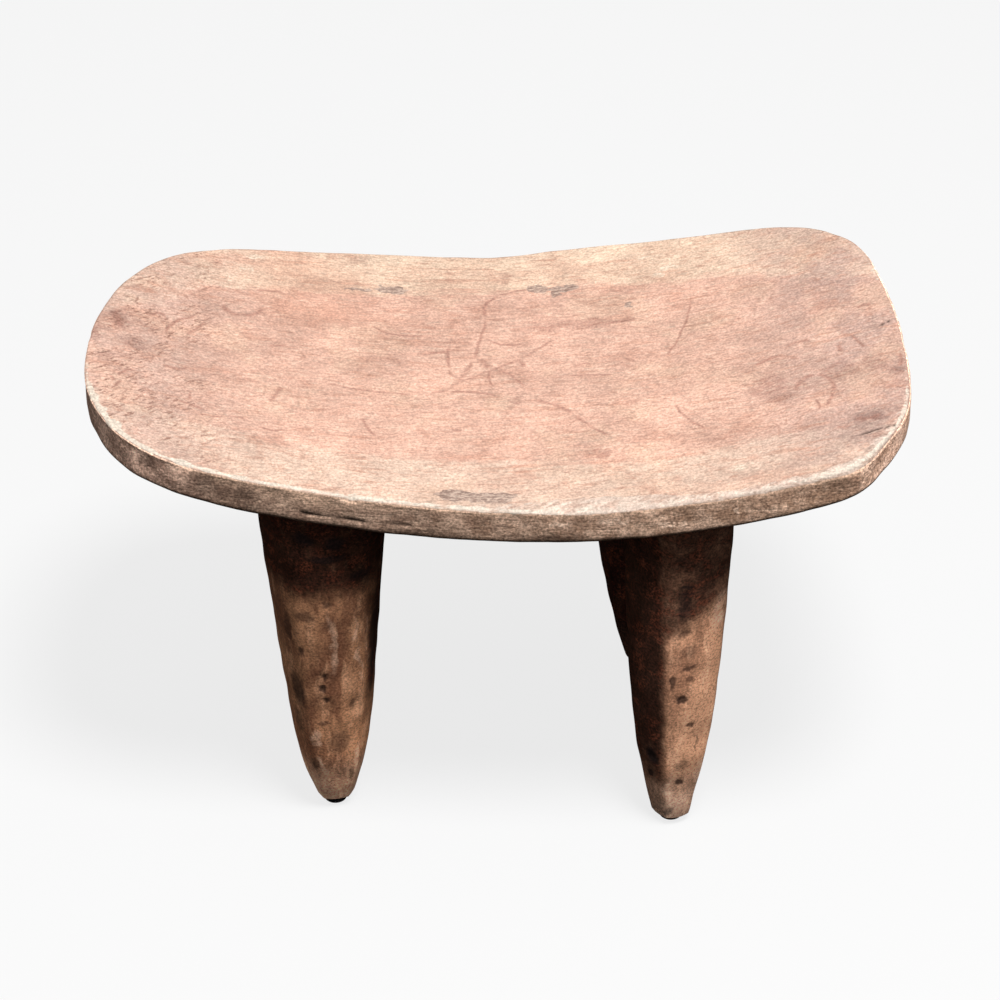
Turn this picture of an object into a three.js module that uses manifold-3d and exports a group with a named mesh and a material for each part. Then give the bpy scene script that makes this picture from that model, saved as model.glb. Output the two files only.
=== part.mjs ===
// A low four-legged stool, carved by hand in hardwood: a thick saddle-shaped seat on four tapering
// peg legs, each with a small black pad nailed under its foot.
// Units are millimetres. +Z is up, +X runs along the seat and the front is towards -Y.
// The origin is on the floor, under the middle of the seat.
import * as THREE from "three";
import { mergeVertices } from "three/addons/utils/BufferGeometryUtils.js";
import Module from "manifold-3d";

// Seat
const seatLength = 538;
const seatDepth = 329;
const seatCentreHeight = 290;
const seatThickness = 27;
const saddleRise = 42;
const saddlePower = 1.9;
const topEdgeRound = 6;
const lowerEdgeRound = 4;

// The worn bevel on the front edge, right of the middle
const wornBevelWidth = 12;
const wornBevelDrop = 3;
const wornBevelX = 48;
const wornBevelReach = 62;

// Legs
const legTopDiameter = 82;
const legFlare = 3;
const legFlareHeight = 26;
const soleChamfer = 3;
const flatPower = 3;

// Joint between each leg and the seat
const tenonDiameter = 40;
const mortiseRoof = 11;
const tenonChamfer = 1.5;
const tenonClearance = 0.3;
const touchGap = 0.3;

// Foot pads and their nails
const padDiameter = 15.5;
const padThickness = 5;
const padEdgeChamfer = 0.6;
const nailHeadDiameter = 6;
const nailHeadThickness = 1.2;
const nailHeadInset = 0.3;
const nailShankDiameter = 2;
const nailLength = 20;
const nailPointLength = 3;
const nailClearance = 0.3;

const cutOverrun = 10;

// Facet counts
const seatSegments = 88;
const legSegments = 32;
const legStations = 14;
const padSegments = 24;
const nailSegments = 12;
const topRoundSteps = 4;
const lowerRoundSteps = 2;
const cutterSteps = 60;

const halfLength = seatLength / 2;
const halfDepth = seatDepth / 2;

// The seat's outline from above, counter-clockwise from its right end, as shares of its half length
// and half depth. The right end is broad and boxy, the left end narrower and rounder.
const outlineShares = [
  [1.0, -0.03],
  [0.989, 0.27],
  [0.965, 0.533],
  [0.916, 0.724],
  [0.825, 0.867],
  [0.688, 0.945],
  [0.483, 0.982],
  [0.25, 1.0],
  [0.0, 0.974],
  [-0.25, 0.98],
  [-0.503, 0.944],
  [-0.674, 0.888],
  [-0.807, 0.762],
  [-0.905, 0.547],
  [-0.97, 0.256],
  [-0.998, -0.061],
  [-0.995, -0.351],
  [-0.961, -0.53],
  [-0.904, -0.674],
  [-0.803, -0.779],
  [-0.662, -0.839],
  [-0.443, -0.88],
  [-0.221, -0.923],
  [0.0, -0.957],
  [0.22, -0.99],
  [0.483, -1.0],
  [0.704, -0.991],
  [0.824, -0.962],
  [0.898, -0.849],
  [0.966, -0.672],
  [0.995, -0.382],
];

// How far in from the rim to the middle the rings of the top and the underside lie.
const ringShares = [0.13, 0.27, 0.41, 0.55, 0.69, 0.84];

// Each leg runs straight from its top centre to its foot centre, given as shares of the seat's half
// length and half depth. Its radius is 1 - taper * t - tip * t ** tipPower at the share t of its height
// from the seat. Flats left by the adze meet in soft ridges, the first at ridgeDegrees, and grow from
// flatShare at the seat to tipFlatShare at the foot. soleShare is the leg's share of soleChamfer.
const legs = [
  {
    side: "front_left",
    topShares: [-0.435, -0.558],
    footShares: [-0.425, -0.505],
    widthShare: 1.08,
    taperShare: 0.48,
    tipShare: 0.236,
    tipPower: 7.8,
    flats: 5,
    ridgeDegrees: -120,
    flatShare: 0.25,
    tipFlatShare: 0.5,
    soleShare: 1,
  },
  {
    side: "front_right",
    topShares: [0.431, -0.664],
    footShares: [0.4315, -0.677],
    widthShare: 0.895,
    taperShare: 0.241,
    tipShare: 0.403,
    tipPower: 3.6,
    flats: 5,
    ridgeDegrees: -106,
    flatShare: 0.35,
    tipFlatShare: 0.35,
    soleShare: 0.35,
  },
  {
    side: "rear_left",
    topShares: [-0.415, 0.576],
    footShares: [-0.43, 0.4],
    widthShare: 1.02,
    taperShare: 0.45,
    tipShare: 0.27,
    tipPower: 6,
    flats: 6,
    ridgeDegrees: 80,
    flatShare: 0.3,
    tipFlatShare: 0.4,
    soleShare: 0.7,
  },
  {
    side: "rear_right",
    topShares: [0.378, 0.582],
    footShares: [0.412, 0.4],
    widthShare: 1.06,
    taperShare: 0.4,
    tipShare: 0.28,
    tipPower: 5,
    flats: 6,
    ridgeDegrees: 100,
    flatShare: 0.3,
    tipFlatShare: 0.4,
    soleShare: 0.7,
  },
];

const seatWood = new THREE.MeshStandardMaterial({ color: 0xa9745c, roughness: 0.68, metalness: 0 });
const legWood = new THREE.MeshStandardMaterial({ color: 0x6e4230, roughness: 0.72, metalness: 0 });
const padRubber = new THREE.MeshStandardMaterial({ color: 0x141312, roughness: 0.85, metalness: 0 });
const nailSteel = new THREE.MeshStandardMaterial({ color: 0x8d8a86, roughness: 0.45, metalness: 1 });

const wasm = await Module();
wasm.setup();

// A closed geometry as a manifold solid.
function toSolid(geometry) {
  const bare = new THREE.BufferGeometry();
  bare.setAttribute("position", geometry.getAttribute("position"));
  if (geometry.index) bare.setIndex(geometry.index);
  const merged = mergeVertices(bare);
  return new wasm.Manifold(
    new wasm.Mesh({
      numProp: 3,
      vertProperties: new Float32Array(merged.attributes.position.array),
      triVerts: new Uint32Array(merged.index.array),
    }),
  );
}

// A manifold solid as a three.js geometry.
function toGeometry(solid) {
  const mesh = solid.getMesh();
  const geometry = new THREE.BufferGeometry();
  geometry.setAttribute("position", new THREE.BufferAttribute(mesh.vertProperties, 3));
  geometry.setIndex(new THREE.BufferAttribute(mesh.triVerts, 1));
  geometry.computeVertexNormals();
  return geometry;
}

// A closed skin over rings of points. The rings run from top to bottom, counter-clockwise from above.
function loft(rings, topPoint, bottomPoint) {
  const count = rings[0].length;
  const points = [topPoint, ...rings.flat(), bottomPoint];
  const at = (ring, i) => 1 + ring * count + (i % count);
  const faces = [];
  const last = rings.length - 1;
  for (let i = 0; i < count; i++) {
    faces.push(0, at(0, i), at(0, i + 1));
    for (let r = 0; r < last; r++) {
      faces.push(at(r + 1, i), at(r + 1, i + 1), at(r, i + 1));
      faces.push(at(r + 1, i), at(r, i + 1), at(r, i));
    }
    faces.push(points.length - 1, at(last, i + 1), at(last, i));
  }
  const geometry = new THREE.BufferGeometry().setFromPoints(points);
  geometry.setIndex(faces);
  return geometry;
}

// A solid turned about the vertical axis from a profile of [radius, height] pairs, placed at x, y, z.
function turned(profile, segments, x, y, z) {
  const points = profile.map(([radius, height]) => new THREE.Vector2(radius, height));
  const geometry = new THREE.LatheGeometry(points, segments);
  geometry.rotateX(Math.PI / 2);
  geometry.translate(x, y, z);
  return toSolid(geometry);
}

// The profile of a blind hole that opens downwards, run past its mouth for a clean cut.
function holeProfile(radius, depth) {
  return [
    [0, -cutOverrun],
    [radius, -cutOverrun],
    [radius, depth],
    [0, depth],
  ];
}

// The height of the seat's top surface, which rises towards both ends.
function topHeight(x) {
  return seatCentreHeight + saddleRise * Math.pow(Math.abs(x / halfLength), saddlePower);
}

// Stations along the seat's rim, each with its outward direction, fitted to the seat's length and depth.
function rimStations() {
  const controls = outlineShares.map(([x, y]) => new THREE.Vector3(x, y, 0));
  const curve = new THREE.CatmullRomCurve3(controls, true, "centripetal");
  const points = curve.getSpacedPoints(seatSegments).slice(0, seatSegments);
  const box = new THREE.Box3().setFromPoints(points);
  const middle = box.getCenter(new THREE.Vector3());
  const size = box.getSize(new THREE.Vector3());
  const fitted = points.map((p) => {
    const x = ((p.x - middle.x) / size.x) * seatLength;
    const y = ((p.y - middle.y) / size.y) * seatDepth;
    return new THREE.Vector3(x, y, 0);
  });
  return fitted.map((point, i) => {
    const before = fitted[(i + seatSegments - 1) % seatSegments];
    const after = fitted[(i + 1) % seatSegments];
    const along = after.clone().sub(before).normalize();
    return { point, outward: new THREE.Vector3(along.y, -along.x, 0) };
  });
}

// How far the worn bevel takes the place of the plain rounding at a point of the rim, from 0 to 1.
function wornAt(point) {
  const distance = (point.x - wornBevelX) / wornBevelReach;
  return point.y < 0 ? Math.exp(-Math.pow(distance, 4)) : 0;
}

// How far inward the top edge's rounding reaches at a point of the rim.
function edgeWidthAt(point) {
  return THREE.MathUtils.lerp(topEdgeRound, wornBevelWidth, wornAt(point));
}

// How far down the top edge's rounding reaches at a point of the rim.
function edgeDropAt(point) {
  return THREE.MathUtils.lerp(topEdgeRound, wornBevelDrop, wornAt(point));
}

// The seat: one plank with a rounded rim, and a blind mortise in its underside over each leg.
function makeSeat() {
  const stations = rimStations();
  const ring = (insetAt, shareIn, heightAt) =>
    stations.map(({ point, outward }) => {
      const at = point.clone().addScaledVector(outward, -insetAt(point)).multiplyScalar(1 - shareIn);
      at.z = heightAt(at.x, point);
      return at;
    });
  const rings = [];
  for (const share of [...ringShares].reverse()) {
    rings.push(ring(edgeWidthAt, share, topHeight));
  }
  const quarter = Math.PI / 2;
  for (let step = 0; step <= topRoundSteps; step++) {
    const angle = (quarter * step) / topRoundSteps;
    rings.push(
      ring(
        (point) => edgeWidthAt(point) * (1 - Math.sin(angle)),
        0,
        (x, point) => topHeight(x) - edgeDropAt(point) * (1 - Math.cos(angle)),
      ),
    );
  }
  for (let step = 0; step <= lowerRoundSteps; step++) {
    const angle = (quarter * step) / lowerRoundSteps;
    rings.push(
      ring(
        () => lowerEdgeRound * (1 - Math.cos(angle)),
        0,
        (x) => topHeight(x) - seatThickness + lowerEdgeRound * (1 - Math.sin(angle)),
      ),
    );
  }
  for (const share of ringShares) {
    rings.push(ring(() => lowerEdgeRound, share, (x) => topHeight(x) - seatThickness));
  }
  const top = new THREE.Vector3(0, 0, topHeight(0));
  const bottom = new THREE.Vector3(0, 0, topHeight(0) - seatThickness);
  let seat = toSolid(loft(rings, top, bottom));
  for (const leg of legs) {
    seat = seat.subtract(makeMortise(leg));
  }
  return seat;
}

// Where a leg's axis meets the seat's underside.
function legTop(leg) {
  const x = leg.topShares[0] * halfLength;
  const y = leg.topShares[1] * halfDepth;
  return new THREE.Vector3(x, y, topHeight(x) - seatThickness);
}

// Where a leg's axis meets its sole, just above its pad.
function legFoot(leg) {
  const x = leg.footShares[0] * halfLength;
  const y = leg.footShares[1] * halfDepth;
  return new THREE.Vector3(x, y, padThickness + touchGap);
}

function tenonLength() {
  return seatThickness - mortiseRoof;
}

// The hole for a leg's tenon, open at the seat's underside.
function makeMortise(leg) {
  const { x, y, z } = legTop(leg);
  const radius = tenonDiameter / 2 + tenonClearance;
  const depth = tenonLength() + tenonClearance;
  return turned(holeProfile(radius, depth), legSegments, x, y, z);
}

// The stub tenon on top of a leg. Its lower end is inside the leg.
function makeTenon(leg) {
  const { x, y, z } = legTop(leg);
  const radius = tenonDiameter / 2;
  const length = tenonLength();
  const profile = [
    [0, -cutOverrun],
    [radius, -cutOverrun],
    [radius, length - tenonChamfer],
    [radius - tenonChamfer, length],
    [0, length],
  ];
  return turned(profile, legSegments, x, y, z);
}

// Everything above the seat's underside, less the touching gap: it trims the leg tops to the seat.
function makeShoulderCutter() {
  const outline = new THREE.Shape();
  const high = seatCentreHeight + saddleRise + cutOverrun;
  outline.moveTo(halfLength, high);
  outline.lineTo(-halfLength, high);
  for (let step = 0; step <= cutterSteps; step++) {
    const x = -halfLength + (seatLength * step) / cutterSteps;
    outline.lineTo(x, topHeight(x) - seatThickness - touchGap);
  }
  outline.closePath();
  const geometry = new THREE.ExtrudeGeometry(outline, { depth: seatDepth, bevelEnabled: false });
  geometry.rotateX(Math.PI / 2);
  geometry.translate(0, halfDepth, 0);
  return toSolid(geometry);
}

// The radius of a leg's section at the share t of its height and the angle round it.
function legRadius(leg, t, height, angle) {
  const full = (legTopDiameter / 2) * leg.widthShare;
  const straight = full * (1 - leg.taperShare * t - leg.tipShare * Math.pow(t, leg.tipPower));
  const fromSeat = Math.max(0, 1 - (t * height) / legFlareHeight);
  const sector = (2 * Math.PI) / leg.flats;
  const fromRidge = angle - THREE.MathUtils.degToRad(leg.ridgeDegrees);
  const fromFlat = fromRidge - sector * Math.floor(fromRidge / sector) - sector / 2;
  const polygon = Math.cos(sector / 4) / Math.cos(fromFlat);
  const flat = THREE.MathUtils.lerp(leg.flatShare, leg.tipFlatShare, Math.pow(t, flatPower));
  return straight * (1 + flat * (polygon - 1)) + legFlare * fromSeat * fromSeat;
}

// One ring of a leg at the share t of its height, drawn in by inset at the chamfered sole.
function legRing(leg, t, inset) {
  const top = legTop(leg);
  const foot = legFoot(leg);
  const centre = top.clone().lerp(foot, t);
  const ring = [];
  for (let i = 0; i < legSegments; i++) {
    const angle = (2 * Math.PI * i) / legSegments;
    const radius = legRadius(leg, Math.max(0, t), top.z - foot.z, angle) - inset;
    const x = centre.x + radius * Math.cos(angle);
    const y = centre.y + radius * Math.sin(angle);
    ring.push(new THREE.Vector3(x, y, centre.z));
  }
  return ring;
}

// A leg: its tapering body trimmed to the seat, its tenon, and the nail's pilot hole in its sole.
function makeLeg(leg, cutter) {
  const top = legTop(leg);
  const foot = legFoot(leg);
  const height = top.z - foot.z;
  const chamfer = soleChamfer * leg.soleShare;
  const rings = [legRing(leg, -cutOverrun / height, 0)];
  for (let station = 0; station <= legStations; station++) {
    const t = Math.sin((Math.PI / 2) * (station / legStations));
    rings.push(legRing(leg, t * (1 - chamfer / height), 0));
  }
  rings.push(legRing(leg, 1, chamfer));
  const head = top.clone().lerp(foot, -cutOverrun / height);
  const body = toSolid(loft(rings, head, foot));
  return body.subtract(cutter).add(makeTenon(leg)).subtract(makePilotHole(foot));
}

// The hole in a leg's sole for the nail of its pad.
function makePilotHole(foot) {
  const radius = nailShankDiameter / 2 + nailClearance;
  const depth = nailLength + nailClearance - padThickness;
  return turned(holeProfile(radius, depth), nailSegments, foot.x, foot.y, foot.z);
}

// A foot pad: a black disc with a hole for the nail, wider below so that the nail's head is sunk in it.
function makePad(foot) {
  const outer = padDiameter / 2;
  const bore = nailShankDiameter / 2 + nailClearance;
  const counterbore = nailHeadDiameter / 2 + nailClearance;
  const counterboreDepth = nailHeadInset + nailHeadThickness + nailClearance;
  const profile = [
    [counterbore, 0],
    [outer - padEdgeChamfer, 0],
    [outer, padEdgeChamfer],
    [outer, padThickness - padEdgeChamfer],
    [outer - padEdgeChamfer, padThickness],
    [bore, padThickness],
    [bore, counterboreDepth],
    [counterbore, counterboreDepth],
    [counterbore, 0],
  ];
  return turned(profile, padSegments, foot.x, foot.y, 0);
}

// The nail that holds a pad, point up, with its flat head sunk in the pad.
function makeNail(foot) {
  const head = nailHeadDiameter / 2;
  const shank = nailShankDiameter / 2;
  const profile = [
    [0, 0],
    [head, 0],
    [head, nailHeadThickness],
    [shank, nailHeadThickness],
    [shank, nailLength - nailPointLength],
    [0, nailLength],
  ];
  return turned(profile, nailSegments, foot.x, foot.y, nailHeadInset);
}

const stool = new THREE.Group();

function addPiece(name, solid, material) {
  const mesh = new THREE.Mesh(toGeometry(solid), material);
  mesh.name = name;
  stool.add(mesh);
}

addPiece("seat", makeSeat(), seatWood);
const shoulderCutter = makeShoulderCutter();
for (const leg of legs) {
  const foot = legFoot(leg);
  addPiece("leg_" + leg.side, makeLeg(leg, shoulderCutter), legWood);
  addPiece("foot_pad_" + leg.side, makePad(foot), padRubber);
  addPiece("pad_nail_" + leg.side, makeNail(foot), nailSteel);
}

export default stool;
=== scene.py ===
# The looks of a low carved stool: fine wood surfaces, worn edges with a painted highlight and sheen, legs
# with painted shade and shadow, black foot pads that stand in for the shadow under the feet, and nails,
# around its frame.
# Units are metres, but millimetres in the tables that say so. +Z is up, +X runs along the seat and the
# front is towards -Y.
import math

import bpy
import numpy as np
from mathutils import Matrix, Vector


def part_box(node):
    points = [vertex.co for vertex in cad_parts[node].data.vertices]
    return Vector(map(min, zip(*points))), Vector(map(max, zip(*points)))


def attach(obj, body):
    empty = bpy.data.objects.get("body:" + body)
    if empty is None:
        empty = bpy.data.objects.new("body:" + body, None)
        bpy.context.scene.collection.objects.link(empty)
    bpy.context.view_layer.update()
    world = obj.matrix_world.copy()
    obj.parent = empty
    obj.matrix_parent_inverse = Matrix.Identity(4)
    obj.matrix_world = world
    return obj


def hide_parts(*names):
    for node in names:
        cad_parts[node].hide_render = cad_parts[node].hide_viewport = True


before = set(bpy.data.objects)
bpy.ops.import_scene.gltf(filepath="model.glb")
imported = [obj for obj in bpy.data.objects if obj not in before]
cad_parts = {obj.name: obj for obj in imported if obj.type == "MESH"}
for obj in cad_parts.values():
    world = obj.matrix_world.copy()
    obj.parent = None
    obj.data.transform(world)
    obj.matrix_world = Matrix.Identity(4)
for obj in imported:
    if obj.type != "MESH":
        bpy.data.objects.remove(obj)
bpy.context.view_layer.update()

mm = 0.001
quarter_turn = math.pi / 2
full_turn = 2 * math.pi

# Seat, with the sizes that its box doesn't tell
seat_low, seat_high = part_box("seat")
seat_length = seat_high.x - seat_low.x
seat_depth = seat_high.y - seat_low.y
seat_thickness = 0.027
seat_centre_height = seat_low.z + seat_thickness
saddle_rise = 0.042
saddle_power = 1.9
lower_edge_round = 0.004
half_length = seat_length / 2
half_depth = seat_depth / 2

# How far in from the edge a point's turn is -1, and how far the top drops over that way. It drops in full
# at the seat's ends and by a share in its middle, and grows between two shares of the half length.
turn_inward = 0.010
shoulder_drop = 0.0006
shoulder_middle_share = 0.3
shoulder_growth = (0.75, 0.9)

# The top edge round the rim. Each row has the angle from the middle in degrees, from the left end by the
# front and the right end to the back, then the width and drop of the rounding in millimetres, and the
# pale line's strength, middle and half width, the rubbed band's strength, where the rim's wood starts and
# how far below that it stays worn. The last are in turns, which run from 0 at the top to 1 at the foot of
# the rounding and 2 at the foot of the side. The pale line is worn wood with a painted highlight on the
# arris, and the rubbed band is worn wood with a painted sheen.
edge_names = ("width", "drop", "line", "line_middle", "line_half", "wear_and_sheen_band", "rim_start", "worn")
edge_rows = [
    (-180, 2.5, 2.5, 0.1, 0.1, 0.22, 0, 0.55, 0.15),
    (-167, 2.5, 2.5, 0.3, 0.2, 0.35, 0, 0.6, 0.15),
    (-157, 2.6, 2.5, 0.8, 0.18, 0.5, 0, 0.6, 0.35),
    (-147, 2.8, 2.6, 0.95, 0.15, 0.65, 0.1, 0.68, 0.4),
    (-138, 2.5, 2.5, 0.95, 0.22, 0.5, 0, 0.66, 0.5),
    (-127, 2.5, 2.5, 0.8, 0.22, 0.42, 0, 0.7, 0.85),
    (-118, 2.5, 2.5, 0.7, 0.24, 0.45, 0.15, 0.75, 1.2),
    (-112, 2.7, 2.7, 0.7, 0.3, 0.45, 0.4, 0.8, 0.9),
    (-105, 3.2, 3.2, 0.6, 0.3, 0.35, 0.1, 0.7, 0.6),
    (-97, 3.3, 3.3, 0.7, 0.35, 0.35, 0.1, 0.72, 0.5),
    (-91, 8, 3.2, 0.6, 0.66, 0.3, 0.5, 0.95, 0.3),
    (-79, 12, 3, 0.4, 0.66, 0.3, 0.8, 0.98, 0.25),
    (-71, 11, 3, 0.35, 0.66, 0.3, 0.85, 0.98, 0.25),
    (-64, 5, 4.2, 0.35, 0.5, 0.35, 0.7, 0.82, 0.3),
    (-57, 5, 5.2, 0.4, 0.45, 0.35, 0.75, 0.8, 0.4),
    (-50, 6.5, 6.5, 0.65, 0.42, 0.24, 0.8, 0.8, 0.4),
    (-44, 6, 6, 0.8, 0.44, 0.22, 0.75, 0.8, 0.35),
    (-36, 5, 5, 0.65, 0.36, 0.24, 0.4, 0.66, 0.25),
    (-22, 5, 5, 0.2, 0.2, 0.2, 0, 0.48, 0.15),
    (0, 5, 5, 0.2, 0.1, 0.15, 0, 0.4, 0.1),
    (25, 5, 5, 0.3, 0.1, 0.2, 0, 0.4, 0.1),
    (40, 6, 6, 0.25, 0.2, 0.3, 0.1, 0.55, 0.2),
    (140, 6, 6, 0.15, 0.3, 0.3, 0.1, 0.65, 0.2),
    (165, 4, 4, 0.15, 0.1, 0.2, 0, 0.55, 0.15),
    (180, 2.5, 2.5, 0.1, 0.1, 0.22, 0, 0.55, 0.15),
]

# The chip in the front edge
chip_x = -0.098
chip_reach = 0.004
chip_depth = 0.0013
chip_inward_share = 0.6

# Small chips round the rim, half in its top edge and half above its lower edge. Their lengths are measured
# on a way round that is a share of the seat's length and depth together.
small_chip_count = 46
small_chip_lengths = (0.0025, 0.0070)
small_chip_depths = (0.00012, 0.00042)
small_chip_way_share = 0.87
small_chip_top_turn = 0.8
small_chip_top_reach = 0.0035
small_chip_foot_rise = 0.002
small_chip_foot_reach = 0.003

# Hand-made unevenness: how far inside the smooth form the rim and top lie, and how deep their slow and
# quick wavers are
rim_inset = 0.00028
rim_least_inset = 0.00005
rim_slow_waver = 0.00018
rim_quick_waver = 0.00003
top_inset = 0.00030
top_slow_waver = 0.00022
top_quick_waver = 0.00006
side_waver = 0.00028
leg_waver = 0.00035

# The scoops that the adze left under the seat and on the legs: across, along and depth, and the clear
# ring round each leg's top
seat_scoop = (0.030, 0.017, 0.0008)
leg_scoop = (0.013, 0.034, 0.00055)
scoop_clear = (0.046, 0.056)

# How far below the top edge the side's cuts begin, and where they reach their full depth
side_start = (0.001, 0.008)

# Legs
leg_top_diameter = 0.082
leg_flare = 0.003
leg_flare_height = 0.026
flat_power = 3
sole_chamfer = 0.003
touch_gap = 0.0003
tenon_diameter = 0.040
tenon_length = 0.016
tenon_chamfer = 0.0015
tenon_clearance = 0.0003
cutter_overrun = 0.010

# The sole's chamfer with its corners softened, as shares of its way in and of its rise
sole_corner_shares = [(0.06, 0.80), (0.5, 0.42), (0.88, 0.10), (1.0, 0.0)]

# Foot pads, which stand in for the dark shadow under the feet, and their nails
pad_diameter = 0.0155
pad_thickness = 0.005
pad_edge_round = 0.0009
well_edge_round = 0.0002
nail_head_diameter = 0.006
nail_head_thickness = 0.0012
nail_head_inset = 0.0003
nail_head_round = 0.0001
nail_shank_diameter = 0.002
nail_length = 0.020
nail_point_length = 0.003
nail_clearance = 0.0003

# The domed face of a nail's head: shares of its radius, and heights in millimetres
nail_dome = [(0.45, 0), (0.8, 0.08), (0.97, 0.22), (1, 0.5)]

# The seat's outline from above, counter-clockwise from its right end, as shares of its half length
# and half depth
outline_shares = [
    (1, -0.03), (0.989, 0.27), (0.965, 0.533), (0.916, 0.724), (0.825, 0.867), (0.688, 0.945),
    (0.483, 0.982), (0.25, 1), (0, 0.974), (-0.25, 0.98), (-0.503, 0.944), (-0.674, 0.888), (-0.807, 0.762),
    (-0.905, 0.547), (-0.97, 0.256), (-0.998, -0.061), (-0.995, -0.351), (-0.961, -0.53), (-0.904, -0.674),
    (-0.803, -0.779), (-0.662, -0.839), (-0.443, -0.88), (-0.221, -0.923), (0, -0.957), (0.22, -0.99),
    (0.483, -1), (0.704, -0.991), (0.824, -0.962), (0.898, -0.849), (0.966, -0.672), (0.995, -0.382),
]

# Each leg's top and foot centre as shares of the seat's half length and half depth, its share of the
# common width, the taper of its radius, the soft flats that the adze left and the ridges between them,
# and its share of the sole's chamfer
leg_names = ("top_shares", "foot_shares", "width_share", "taper_share", "tip_share", "tip_power")
leg_names += ("flats", "ridge_degrees", "flat_share", "tip_flat_share", "sole_share")
leg_rows = {
    "front_left": ((-0.435, -0.558), (-0.425, -0.505), 1.08, 0.48, 0.236, 7.8, 5, -120, 0.25, 0.5, 1),
    "front_right": ((0.431, -0.664), (0.4315, -0.677), 0.895, 0.241, 0.403, 3.6, 5, -106, 0.35, 0.35, 0.35),
    "rear_left": ((-0.415, 0.576), (-0.43, 0.4), 1.02, 0.45, 0.27, 6, 6, 80, 0.3, 0.4, 0.7),
    "rear_right": ((0.378, 0.582), (0.412, 0.4), 1.06, 0.4, 0.28, 5, 6, 100, 0.3, 0.4, 0.7),
}
legs = {side: dict(zip(leg_names, row)) for side, row in leg_rows.items()}

# Fineness of the meshes
curve_steps = 40
seat_stations = 560
top_rings = 56
top_ring_power = 1.35
side_rings = 13
edge_steps = 12
lower_edge_steps = 5
under_rings = 42
under_ring_power = 1.2
leg_stations = 112
leg_rings = 150
tenon_hole_steps = 64
turned_steps = 48
pad_corner_steps = 4


def smooth(value, low, high):
    """0 below low, 1 above high, and a soft step between."""
    t = np.clip((value - low) / (high - low), 0, 1)
    return t * t * (3 - 2 * t)


def bell(offset, reach, power=2):
    """1 in the middle and near 0 past the reach."""
    return np.exp(-((offset / reach) ** power))


def in_metres(rows):
    """Rows of millimetres as lists of metres."""
    return (np.array(rows) * mm).tolist()


def waves(seed, shortest, longest, count=28):
    """A smooth random field over points, mostly between -1 and 1."""
    rng = np.random.default_rng(seed)
    directions = rng.normal(size=(count, 3))
    directions /= np.linalg.norm(directions, axis=1, keepdims=True)
    lengths = shortest * (longest / shortest) ** rng.random(count)
    phases = rng.random(count) * full_turn

    def field(points):
        total = np.zeros(points.shape[:-1])
        for direction, length, phase in zip(directions, lengths, phases):
            total += np.sin(points @ direction * (full_turn / length) + phase)
        return total / math.sqrt(count)

    return field


def distance_to_path(points, path):
    """How far each point lies from a chain of straight stretches."""
    nearest = np.full(points.shape[:-1], np.inf)
    for start, end in zip(path[:-1], path[1:]):
        along = end - start
        share = np.clip((points - start) @ along / (along @ along), 0, 1)
        gap = np.linalg.norm(points - start - share[..., None] * along, axis=-1)
        nearest = np.minimum(nearest, gap)
    return nearest


def link_object(name, data):
    made = bpy.data.objects.new(name, data)
    bpy.context.scene.collection.objects.link(made)
    return made


def mesh_object(name, points, faces):
    mesh = bpy.data.meshes.new(name)
    mesh.from_pydata(points.tolist(), [], faces)
    return link_object(name, mesh)


def make_piece(name, node, points, faces, values=None):
    """A smooth-shaded mesh that stands for a node, with named values on its points."""
    piece = mesh_object(name, points, faces)
    mesh = piece.data
    mesh.polygons.foreach_set("use_smooth", [True] * len(mesh.polygons))
    for key, numbers in (values or {}).items():
        layer = mesh.attributes.new(key, "FLOAT", "POINT")
        layer.data.foreach_set("value", np.asarray(numbers, np.float32).ravel())
    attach(piece, "root")
    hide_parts(node)
    return piece


def skin_faces(ring_count, station_count):
    """Faces over rings that run from top to bottom, after a top point and before a bottom point."""
    faces = []
    last = 1 + (ring_count - 1) * station_count
    bottom = 1 + ring_count * station_count
    for i in range(station_count):
        j = (i + 1) % station_count
        faces.append((0, 1 + i, 1 + j))
        faces.append((bottom, last + j, last + i))
    for ring in range(ring_count - 1):
        upper = 1 + ring * station_count
        lower = upper + station_count
        for i in range(station_count):
            j = (i + 1) % station_count
            faces.append((upper + i, lower + i, lower + j, upper + j))
    return faces


def around_axis(steps):
    """Unit directions all round the vertical."""
    angles = np.arange(steps) / steps * full_turn
    return np.column_stack([np.cos(angles), np.sin(angles)])


def level_ring(spokes, radius, height):
    """A level ring of points about the vertical axis."""
    return np.column_stack([spokes * radius, np.full(len(spokes), height)])


def turned_points(profile, centre, steps):
    """Points and faces of a solid turned about the vertical through centre. The profile runs from
    bottom to top as (radius, height) pairs, and both ends are closed by a point on the axis."""
    spokes = around_axis(steps)
    rings = [level_ring(spokes, radius, height) for radius, height in reversed(profile)]
    top = (0, 0, profile[-1][1])
    bottom = (0, 0, profile[0][1])
    return np.vstack([[top], *rings, [bottom]]) + centre, skin_faces(len(rings), steps)


def ring_solid(outline, centre):
    """A ring turned about the vertical from a closed outline of (radius, height) pairs, which runs
    outward along its underside and back along its top."""
    spokes = around_axis(turned_steps)
    rings = [level_ring(spokes, radius, height) for radius, height in outline]
    faces = []
    for k in range(len(outline)):
        this = k * turned_steps
        following = (k + 1) % len(outline) * turned_steps
        for i in range(turned_steps):
            j = (i + 1) % turned_steps
            faces.append((this + i, this + j, following + j, following + i))
    return np.vstack(rings) + centre, faces


def top_height(x):
    """The height of the seat's top surface, which rises towards both ends."""
    return seat_centre_height + saddle_rise * np.abs(x / half_length) ** saddle_power


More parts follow.
